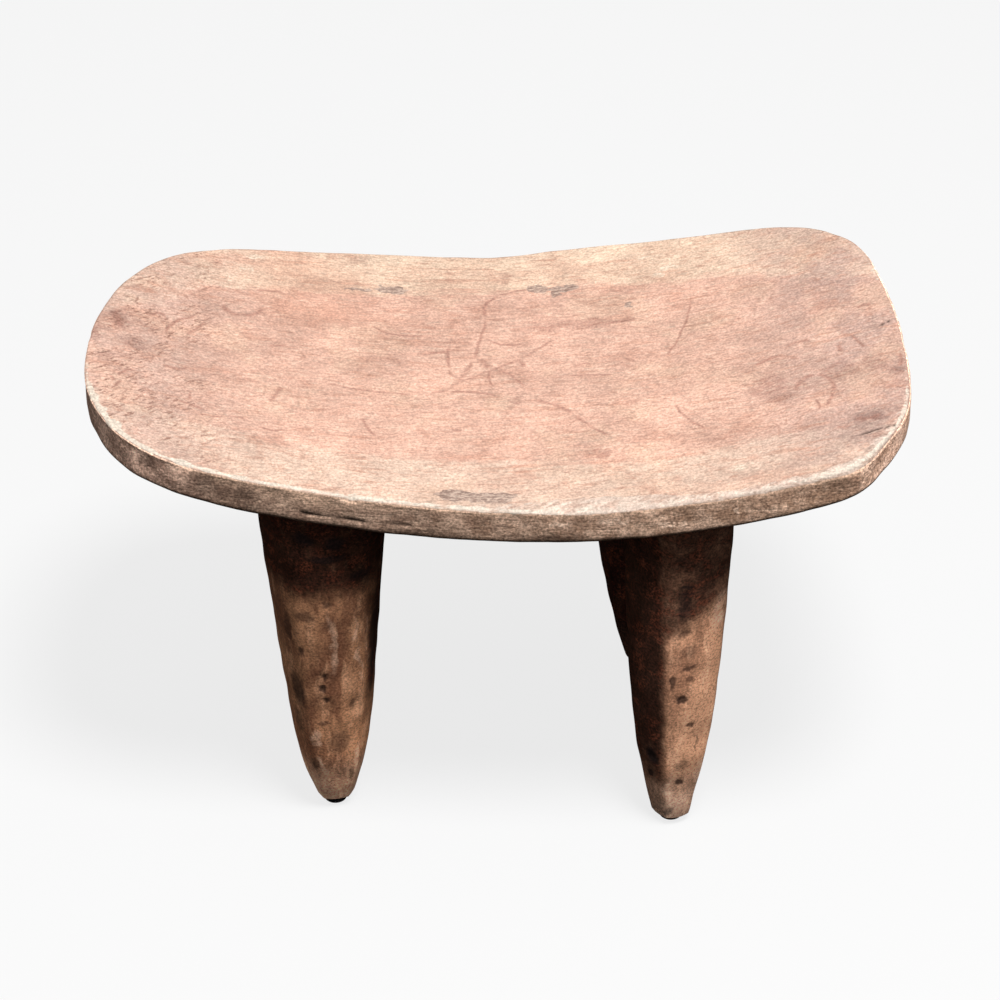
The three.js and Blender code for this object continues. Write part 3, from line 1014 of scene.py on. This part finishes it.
# Curved scratches on the seat's top, in millimetres: start, a point between, end and half width
scratches = [
    (28, 110, 19, 108, 8, 104, 1.2),
    (8, 104, -1, 94, -3, 73, 1.5),
    (-3, 73, -8, 45, -14, 20, 1.4),
    (-14, 20, -22, -1, -31, -16, 1.8),
    (-31, -16, -37, -19, -44, -20, 1.4),
    (42, 43, 31, 32, 20, 21, 1.3),
    (20, 21, 2, 10, -27, -9, 1.3),
    (0, 9, 10, 1, 19, -15, 1.2),
    (-3, 7, -4, -3, -2, -12, 1.2),
    (-9, 23, -6, 16, -3, 10, 2.6),
    (-29, 38, -31, 22, -30, 9, 1.3),
    (-30, 9, -29, 3, -24, -3, 1.4),
    (16, 21, 18, 16, 20, 10, 2),
    (-32, -18, -12, -20, 2, -25, 1.2),
    (25, -30, 38, -38, 50, -51, 1.7),
    (50, -51, 58, -64, 71, -80, 1.5),
    (48, -4, 63, -6, 79, -8, 1.1),
    (53, 6, 59, 9, 65, 8, 1.2),
    (-4, 47, 8, 38, 23, 40, 1.1),
    (80, 57, 89, 58, 99, 58, 2),
    (138, 77, 131, 45, 114, 5, 1),
    (115, -51, 121, -68, 134, -87, 1.1),
    (-113, -15, -85, -22, -55, -22, 1),
    (-83, 62, -60, 50, -44, 52, 1),
    (-49, 26, -40, 29, -30, 31, 1.5),
    (-32, -63, -28, -65, -24, -65, 1.6),
    (-141, -26, -146, -37, -149, -47, 1.8),
    (-90, -54, -86, -66, -80, -76, 1.3),
    (-219, 17, -216, 29, -198, 47, 1.4),
    (-205, 21, -198, 32, -192, 42, 1.6),
    (-219, -21, -211, -22, -202, -19, 1.4),
    (-253, 35, -250, 23, -247, 13, 2.4),
    (-252, -45, -250, -48, -249, -52, 1.4),
    (-247, -45, -242, -37, -236, -32, 1.4),
    (-250, -60, -247, -55, -244, -49, 1.3),
    (-208, -60, -199, -63, -191, -66, 1.3),
    (-199, -46, -201, -52, -200, -57, 1.2),
    (-188, -74, -176, -70, -163, -70, 1.2),
    (-157, -78, -148, -79, -138, -77, 1.1),
    (-160, 92, -150, 94, -139, 92, 1.3),
    (-150, 23, -144, 25, -138, 27, 1.2),
    (-182, 68, -178, 60, -169, 57, 2.2),
    (-169, 57, -160, 61, -155, 71, 2.2),
    (-229, 38, -224, 42, -218, 38, 2),
    (194, -63, 199, -50, 208, -46, 2.2),
    (208, -46, 216, -56, 216, -73, 1.9),
    (216, -72, 214, -80, 210, -86, 1.5),
    (205, -76, 206, -82, 205, -89, 1.3),
    (171, -22, 180, -18, 188, -16, 1.7),
    (193, -7, 201, -5, 210, -6, 1.4),
    (235, -9, 239, -20, 242, -30, 1.4),
    (226, -19, 227, -23, 227, -28, 1.8),
    (225, -106, 233, -111, 243, -109, 2.6),
    (214, -112, 218, -114, 223, -114, 1.6),
    (243, 20, 248, 21, 253, 20, 1.8),
    (262, -45, 263, -53, 260, -61, 2),
]

# Marks on the seat's top, in millimetres: centre and half sizes. First the dark worn patches, then soft
# brown stains, then pale flecks and rubs.
dark_patches = [
    (-66, 109.5, 15, 7), (-90, 107.5, 13, 3), (34, 110, 9, 7), (42, 108.5, 6, 2.6), (52, 107.5, 12.5, 5),
    (47, 101.5, 4.8, 5), (96, 78, 3.6, 4), (-31, -140, 19, 8.5), (-8, -142.5, 20, 8),
]
soft_stains = [
    (177, -49, 15, 17), (184, -66, 12, 9), (225, -50, 13, 15), (244, -48, 8, 11), (257, -63, 7, 7),
    (236, -110, 12, 8), (12, -30, 6, 5), (-256, -22, 7, 8), (-250, 28, 7, 12), (-238, 0, 14, 9),
    (-262, 4, 7, 16), (60, 60, 50, 8), (63, -98, 8, 6),
]
pale_patches = [
    (126, 119, 8, 4.5), (118, 112, 6, 4), (-167, 119, 5, 4), (-160, 136, 8, 3), (110, 138, 6, 2.5),
    (150, -136, 6, 5),
]

# Dark blotches and pale flecks on the seat's rim, in millimetres: centre and half sizes
rim_blotches = [
    (-227, -122.8, 309.5, 9, 10, 6),
    (-190, -136.9, 304, 11, 10, 7),
    (-165, -141.2, 295, 10, 10, 6),
    (-60, -151, 270, 30, 10, 4),
    (20, -160, 268, 40, 10, 4),
    (30, 160, 275, 25, 10, 6),
]
rim_flecks = [
    (145.6, -165, 289, 1.6, 6, 7),
    (70, -163, 282, 16, 6, 3.5),
    (105, -164.5, 280, 14, 6, 3),
    (35, -161, 280, 10, 6, 3),
    (-100, -144, 293, 6, 6, 3.5),
]


def flat_marks(g, place, patches):
    """One mask over flat patches on the seat's top."""
    mask = 0.0
    for x, y, reach_x, reach_y in in_metres(patches):
        spot = g.spot(place, (x, y, seat_centre_height), (reach_x, reach_y, 0.2), 0.5)
        mask = g.most(mask, spot)
    return mask


def round_marks(g, place, patches):
    """One mask over ellipsoid patches."""
    mask = 0.0
    for x, y, z, *radii in in_metres(patches):
        mask = g.most(mask, g.spot(place, (x, y, z), radii, 0.6))
    return mask


def seat_noises(g, place):
    """The grain and mottling that the seat's top and rim share."""
    swayed = g.warp(place, 9.0, 0.006)
    return {
        "slow": g.noise(swayed, (5.0, 14.0, 14.0), 4.0, 0.6),
        "streak": g.noise(swayed, (14.0, 150.0, 150.0), 4.0, 0.62),
        "fine": g.noise(swayed, (60.0, 460.0, 460.0), 2.0, 0.7),
        "hatch": g.noise(g.turned(place, 8), (210.0, 500.0, 560.0), 2.0, 0.7),
        "mottle": g.noise(place, (60.0, 110.0, 130.0), 4.0, 0.65),
        "blotch": g.noise(place, 22.0, 4.0, 0.6),
        "grit": g.noise(place, (640.0, 560.0, 620.0), 1.0, 0.6),
    }


def seat_wood_colour(g, place, noises):
    """Red heartwood between pale sapwood, greyer ends, streaks and smudges."""
    slow, streak, fine = noises["slow"], noises["streak"], noises["fine"]
    mottle, blotch = noises["mottle"], noises["blotch"]
    grained = g.add(g.sway(streak, 0.030), g.sway(blotch, 0.030))
    heart = g.step(g.add(g.value("heart"), grained), -0.004, 0.006)
    rear = g.step(g.axis(place, "Y"), -0.05, 0.05)
    pale = g.mix(rear, on_top(247, 212, 189), on_top(258, 224, 196))
    colour = g.mix(heart, pale, on_top(246, 197, 174))
    colour = g.tint(colour, g.step(slow, 0.5, 0.7), 0.6, on_top(229, 172, 146))
    colour = g.tint(colour, g.step(blotch, 0.5, 0.66), 0.5, on_top(250, 208, 180))

    far = g.math("ABSOLUTE", g.axis(place, "X"))
    ends = g.times(g.step(far, 0.13, 0.24), g.step(blotch, 0.62, 0.4, 0.35, 1.0))
    right = g.step(g.axis(place, "X"), -0.1, 0.1)
    colour = g.tint(colour, ends, 0.85, g.mix(right, on_top(224, 186, 169), on_top(206, 171, 157)))

    smudge = g.noise(g.warp(place, 26.0, 0.02), (30.0, 44.0, 30.0), 4.0, 0.68)
    colour = g.tint(colour, g.step(smudge, 0.52, 0.68), 0.5, on_top(212, 157, 134))
    colour = g.tint(colour, g.step(streak, 0.54, 0.7), 0.5, on_top(214, 158, 132))
    colour = g.tint(colour, g.step(fine, 0.54, 0.68), 0.42, on_top(202, 146, 120))
    colour = g.tint(colour, g.step(fine, 0.46, 0.3), 0.35, on_top(255, 226, 202))
    colour = g.shade(colour, mottle, 0.92, 1.08)
    return g.shade(colour, g.noise(place, 26.0, 2.0, 0.5), 0.80, 1.20, 0.4)


def seat_wear_colour(g, place, noises, colour):
    """The top's colour with tool marks at its left end, scuffs, scratches, stains and patches."""
    mottle, blotch, hatch = noises["mottle"], noises["blotch"], noises["hatch"]
    dashes = g.noise(g.turned(place, 40), (120.0, 420.0, 420.0), 3.0, 0.7)
    left_end = g.times(g.step(g.axis(place, "X"), -0.150, -0.215), g.step(blotch, 0.40, 0.55))
    dashed = g.times(g.step(dashes, 0.52, 0.64), left_end)
    colour = g.tint(colour, dashed, 0.9, on_top(166, 122, 104))

    bent = g.noise(g.warp(place, 18.0, 0.02), 30.0, 1.0, 0.4)
    line = g.step(g.math("ABSOLUTE", g.add(bent, -0.5)), 0.0, 0.014, 1.0, 0.0)
    scuffed = g.times(line, g.step(mottle, 0.46, 0.6))
    colour = g.tint(colour, scuffed, 0.4, on_top(196, 143, 122))

    scratch_place = g.warp(place, 110.0, 0.0016)
    scratched = 0.0
    for x1, y1, x2, y2, x3, y3, width in in_metres(scratches):
        reach = scratch_reach_share * width
        scratched = g.most(scratched, g.stroke(scratch_place, (x1, y1), (x2, y2), (x3, y3), reach))
    scratched = g.times(scratched, g.step(mottle, 0.30, 0.54, 0.50, 1.0))
    colour = g.tint(colour, scratched, 0.75, on_top(190, 139, 121))

    stained = flat_marks(g, g.warp(place, 110.0, 0.010), soft_stains)
    stained = g.times(stained, g.step(hatch, 0.40, 0.60, 0.2, 1.0))
    colour = g.mix(stained, colour, (0.66, 0.61, 0.61, 1.0), "MULTIPLY")
    patch_place = g.warp(place, 150.0, 0.005)
    dark = g.add(flat_marks(g, patch_place, dark_patches), g.sway(hatch, 0.9))
    dark = g.times(g.step(dark, 0.34, 0.62), g.step(noises["fine"], 0.3, 0.6, 1.0, 0.85))
    worn = g.mix(g.step(hatch, 0.38, 0.60), on_top(166, 136, 122), on_top(208, 182, 165))
    colour = g.mix(dark, colour, worn)
    light = g.times(flat_marks(g, patch_place, pale_patches), g.step(hatch, 0.35, 0.6))
    return g.tint(colour, light, 0.7, on_top(255, 236, 212))


def seat_rim_colour(g, place, noises):
    """The rim: browner wood with a felted grain, blotches, flecks, a worn top and a dark lower edge."""
    streak, fine, hatch = noises["streak"], noises["fine"], noises["hatch"]
    right = g.step(g.axis(place, "X"), -0.16, 0.10)
    dark = g.mix(right, on_rim(114, 90, 76), on_rim(140, 110, 90))
    pale = g.mix(right, on_rim(156, 129, 111), on_rim(190, 158, 136))
    rim_slow = g.noise(place, 60.0, 4.0, 0.65)
    colour = g.mix(g.step(rim_slow, 0.38, 0.62), dark, pale)
    colour = g.tint(colour, g.step(streak, 0.42, 0.66), 0.4, dark)
    colour = g.tint(colour, g.step(fine, 0.5, 0.68), 0.3, on_rim(92, 68, 56))
    colour = g.tint(colour, g.step(fine, 0.47, 0.3), 0.3, on_rim(206, 176, 152))
    colour = g.tint(colour, g.value("worn"), 0.8, on_rim(202, 168, 143))
    blotched = round_marks(g, g.warp(place, 90.0, 0.006), rim_blotches)
    colour = g.tint(colour, blotched, 0.6, on_rim(72, 54, 44))
    flecked = round_marks(g, g.warp(place, 160.0, 0.003), rim_flecks)
    flecked = g.times(flecked, g.step(hatch, 0.35, 0.6))
    colour = g.tint(colour, flecked, 0.7, on_rim(216, 186, 164))
    low_edge = g.times(g.step(g.value("turn"), 1.80, 2.5), g.step(rim_slow, 0.2, 0.6, 0.5, 1.0))
    colour = g.tint(colour, low_edge, 0.85, on_rim(78, 58, 46))
    far = g.math("ABSOLUTE", g.axis(place, "X"))
    at_end = g.most(g.step(far, 0.205, 0.252), g.step(g.axis(place, "X"), -0.175, -0.235))
    colour = g.mix(at_end, colour, (2.05, 2.05, 2.15, 1.0), "MULTIPLY")
    return g.shade(colour, noises["grit"], 0.72, 1.28, 0.3)


def worn_edge_with_highlight(g, place, colour):
    """The band of bare wood that wear left beside the edge, with a painted sheen, and the pale line on its
    arris, worn wood with a painted highlight.
    """
    # The pale band: worn wood with a painted sheen
    slant = g.noise(g.turned(place, 24), (70.0, 300.0, 300.0), 3.0, 0.65)
    wear_and_sheen_band = g.step(g.add(g.value("wear_and_sheen_band"), g.sway(slant, 2.4)), 0.40, 0.80)
    wear_and_sheen_band = g.times(wear_and_sheen_band, g.step(g.value("wear_and_sheen_band"), 0.0, 0.3))
    colour = g.tint(colour, wear_and_sheen_band, 0.6, on_top(246, 226, 210))
    darker = g.times(g.step(slant, 0.52, 0.38), g.step(g.value("wear_and_sheen_band"), 0.2, 0.6))
    colour = g.tint(colour, darker, 0.5, on_top(203, 176, 160))
    # The pale line on the arris: worn wood with a painted highlight
    fibres = g.noise(g.warp(place, 30.0, 0.006), (90.0, 380.0, 380.0), 3.0, 0.65)
    line = g.step(g.add(g.value("line"), g.sway(fibres, 1.7)), 0.25, 0.75)
    line = g.times(line, g.step(g.value("line"), 0.0, 0.25))
    return g.tint(colour, line, 0.85, on_top(250, 236, 217))


def seat_material():
    """Rubbed red hardwood with pale sapwood, fine grain, scratches, dark patches and worn edges with a
    painted highlight and sheen.
    """
    material = bpy.data.materials.new("seat_wood_rubbed")
    g = Graph(material)
    place = g.place()
    noises = seat_noises(g, place)
    top = seat_wear_colour(g, place, noises, seat_wood_colour(g, place, noises))
    rim = seat_rim_colour(g, place, noises)
    ragged = g.add(g.value("side"), g.sway(noises["mottle"], 0.8))
    colour = g.mix(g.step(ragged, 0.25, 0.75), top, rim)
    colour = worn_edge_with_highlight(g, place, colour)
    colour = g.mix(g.value("crack"), colour, on_rim(40, 28, 22))
    under = g.mix(noises["streak"], on_leg(86, 56, 44), on_leg(132, 92, 72))
    colour = g.mix(g.value("under"), colour, under)

    fine, hatch = noises["fine"], noises["hatch"]
    colour = g.shade(colour, hatch, 0.68, 1.32)
    colour = g.shade(colour, noises["grit"], 0.76, 1.24, 0.3)
    roughness = g.step(hatch, 0.2, 0.8, 0.5, 0.76)
    height = g.add(g.times(fine, 0.6), g.times(hatch, 0.6))
    g.finish(colour, roughness, height, 0.6, 0.0007, 0.3)
    return material


# Pale rubbed ridges on the legs, in millimetres: centre and half sizes
leg_rubs = {
    "front_left": [
        (-120.3, -106.5, 44, 3, 8, 18),
        (-100, -106, 50, 2, 8, 22),
        (-113, -124, 150, 4, 10, 50),
        (-96, -118, 150, 2, 10, 50),
        (-89, -113, 145, 1.5, 10, 50),
        (-125, -111, 72, 5, 10, 12),
    ],
    "front_right": [
        (143, -133, 190, 9, 14, 24),
        (133, -125, 45, 6, 12, 20),
        (112, -129, 42, 3, 8, 20),
    ],
    "rear_left": [
        (-130, 100, 70, 6, 10, 20),
    ],
    "rear_right": [
        (130, 95, 70, 6, 10, 20),
    ],
}

# How much paler each leg grows towards its foot, which is painted light that the floor would throw back up,
# and its brown, rubbed, dark and pale display colours; the pale one serves the rubs and the foot's painted
# floor light
leg_looks = {
    "front_left": (1.9, (131, 93, 68), (156, 116, 89), (92, 60, 43), (178, 146, 124)),
    "front_right": (1.1, (167, 124, 97), (182, 139, 111), (128, 91, 70), (200, 168, 146)),
    # The front right leg's paler tones are painted light: they stand for the key light on its lit side
    "rear_left": (1.5, (130, 92, 69), (160, 120, 93), (84, 54, 40), (190, 154, 128)),
    "rear_right": (1.4, (130, 90, 68), (158, 118, 92), (84, 52, 38), (190, 154, 128)),
}


def leg_material(side):
    """Dark hand-rubbed wood: streaks down the leg, smoke and patina with painted shade under the seat and
    the seat's painted shadow, stains, and a foot made paler by painted floor light.
    """
    material = bpy.data.materials.new("leg_wood_" + side)
    g = Graph(material)
    place = g.place()
    swayed = g.warp(place, 16.0, 0.008)
    z = g.axis(place, "Z")
    slow = g.noise(swayed, (34.0, 34.0, 12.0), 4.0, 0.62)
    streak = g.noise(swayed, (130.0, 130.0, 24.0), 4.0, 0.6)
    fine = g.noise(place, 640.0, 1.5, 0.7)
    cross = g.noise(swayed, (60.0, 60.0, 380.0), 3.0, 0.6)
    mottle = g.noise(place, 105.0, 3.0, 0.6)

    floor_light_lift, *tones = leg_looks[side]
    brown, rubbed, deep, rub_and_floor_light = (on_leg(*display) for display in tones)
    colour = g.mix(g.step(slow, 0.38, 0.60), deep, brown)
    colour = g.tint(colour, g.step(streak, 0.5, 0.7), 0.75, rubbed)
    colour = g.tint(colour, g.step(streak, 0.46, 0.3), 0.7, deep)
    colour = g.tint(colour, g.step(cross, 0.55, 0.75), 0.35, deep)
    rubs = g.times(round_marks(g, g.warp(place, 60.0, 0.008), leg_rubs[side]), g.step(mottle, 0.3, 0.6))
    colour = g.tint(colour, rubs, 0.4, rub_and_floor_light)
    # The foot paler towards the floor: painted light that the floor would throw back up onto the lower leg
    foot = g.times(g.step(z, 0.060, 0.012), g.step(slow, 0.3, 0.6, 0.35, 1.0))
    colour = g.tint(colour, foot, 0.8, rub_and_floor_light)
    colour = g.lit(colour, g.step(z, 0.13, 0.015, 1.0, floor_light_lift))

    # Soot and patina, together with painted shade under the seat and the seat's painted shadow
    soot_and_shade = g.value("soot_and_shade")
    smoky = g.noise(place, (75.0, 75.0, 95.0), 4.0, 0.7)
    ragged = g.add(g.add(soot_and_shade, g.sway(slow, 0.7)), g.sway(smoky, 0.7))
    soot_and_shade_mask = g.times(g.step(ragged, 0.20, 0.90), g.step(soot_and_shade, 0.0, 0.1))
    black = g.mix(g.step(smoky, 0.48, 0.66), on_leg(27, 8, 5), on_leg(62, 29, 18))
    colour = g.tint(colour, soot_and_shade_mask, 0.95, g.shade(black, fine, 0.1, 1.9, 0.25))

    stain_place = g.warp(place, 130.0, 0.004)
    stained = 0.0
    for row in leg_stains[side]:
        x, y, z, *radii = in_metres(row[:6])
        stained = g.most(stained, g.times(g.spot(stain_place, (x, y, z), radii, 0.6), row[6]))
    colour = g.mix(stained, colour, on_leg(24, 16, 15))
    colour = g.shade(colour, mottle, 0.82, 1.18, 0.4)
    colour = g.shade(colour, fine, 0.52, 1.48, 0.3)

    roughness = g.step(fine, 0.2, 0.8, 0.5, 0.72)
    height = g.add(g.times(fine, 0.6), g.times(streak, 0.5))
    g.finish(colour, roughness, height, 0.5, 0.0006, 0.3)
    return material


def foot_shadow_pad_material():
    """Scuffed black rubber for the pads, which stand in for the dark shadow under the feet."""
    material = bpy.data.materials.new("pad_black_for_foot_shadow")
    g = Graph(material)
    place = g.place()
    grit = g.noise(place, 1400.0, 3.0, 0.6)
    scuff = g.noise(place, 260.0, 3.0, 0.6)
    colour = g.mix(g.step(scuff, 0.55, 0.8), (0.006, 0.006, 0.006, 1), (0.03, 0.028, 0.026, 1))
    g.finish(colour, g.step(scuff, 0.3, 0.7, 0.55, 0.85), grit, 0.4, 0.0002, 0.35)
    return material


def nail_material():
    """Dull steel with a little rust in its hollows."""
    material = bpy.data.materials.new("nail_steel_dull")
    g = Graph(material)
    place = g.place()
    rust = g.noise(place, 700.0, 4.0, 0.65)
    grit = g.noise(place, 2600.0, 2.0, 0.5)
    colour = g.mix(g.step(rust, 0.52, 0.66), (0.46, 0.45, 0.43, 1), (0.16, 0.08, 0.045, 1))
    g.finish(colour, g.step(rust, 0.3, 0.7, 0.32, 0.8), grit, 0.3, 0.0001, 0.5, metallic=1.0)
    return material


def make_floor():
    """A plain pale floor that shows a faint shadow and throws no light back up."""
    half_size, gap = 6.0, 0.0002
    corners = [(-1, -1), (1, -1), (1, 1), (-1, 1)]
    points = np.array([(x * half_size, y * half_size, -gap) for x, y in corners])
    floor = mesh_object("floor", points, [(0, 1, 2, 3)])
    floor.visible_diffuse = False
    floor.visible_glossy = False
    material = bpy.data.materials.new("floor_pale")
    g = Graph(material)
    glow = g.node("ShaderNodeEmission", {"Color": (1, 1, 1, 1), "Strength": 0.79})
    matte = g.node("ShaderNodeBsdfDiffuse", {"Color": (0.10, 0.10, 0.10, 1)})
    g.surface(g.node("ShaderNodeAddShader", {0: glow.outputs[0], 1: matte.outputs[0]}))
    floor.data.materials.append(material)


def aimed_object(name, data, target, elevation, azimuth, distance):
    """An object that looks at the target from a direction in degrees. Azimuth 0 is the front."""
    rise, swing = math.radians(elevation), math.radians(azimuth)
    level = math.cos(rise)
    away = Vector((math.sin(swing) * level, -math.cos(swing) * level, math.sin(rise)))
    made = link_object(name, data)
    made.location = Vector(target) + away * distance
    made.rotation_mode = "QUATERNION"
    made.rotation_quaternion = (-away).to_track_quat("-Z", "Y")
    return made


def make_light():
    """One soft key light high at the front right, and a dome that is bright above and dark below."""
    key = bpy.data.lights.new("key", "AREA")
    key.shape = "DISK"
    key.size = 0.9
    key.energy = 140
    aimed_object("key", key, target=(0, 0, 0.25), elevation=69, azimuth=25, distance=3.0)

    world = bpy.data.worlds.new("studio")
    bpy.context.scene.world = world
    g = Graph(world)
    direction = g.node("ShaderNodeTexCoord").outputs["Generated"]
    strength = g.step(g.axis(direction, "Z"), 0.0, 0.35, 0.0, 0.62)
    dome = g.node("ShaderNodeBackground", {"Strength": strength})
    backdrop = g.node("ShaderNodeBackground", {"Color": (0.96, 0.96, 0.96, 1)})
    seen = g.node("ShaderNodeLightPath").outputs["Is Camera Ray"]
    both = g.node("ShaderNodeMixShader", {0: seen, 1: dome.outputs[0], 2: backdrop.outputs[0]})
    g.surface(both, "ShaderNodeOutputWorld")


def make_camera():
    """The photograph's view: from the front, 35 degrees down and slightly to the left."""
    data = bpy.data.cameras.new("camera")
    data.lens = 126.36
    data.sensor_width = 36
    target = (0.00339, 0, 0.18887)
    camera = aimed_object("camera", data, target, elevation=34.617, azimuth=-2.524, distance=2.4)
    bpy.context.scene.camera = camera


make_camera()
make_light()
make_floor()

seat = make_seat()
seat.data.materials.clear()
seat.data.materials.append(seat_material())
foot_shadow_black = foot_shadow_pad_material()
steel = nail_material()
for side, leg in legs.items():
    foot = leg_foot(leg)
    make_leg(side, leg).data.materials.append(leg_material(side))
    make_pad(side, foot).data.materials.append(foot_shadow_black)
    make_nail(side, foot).data.materials.append(steel)

bpy.context.scene.view_settings.view_transform = "Standard"
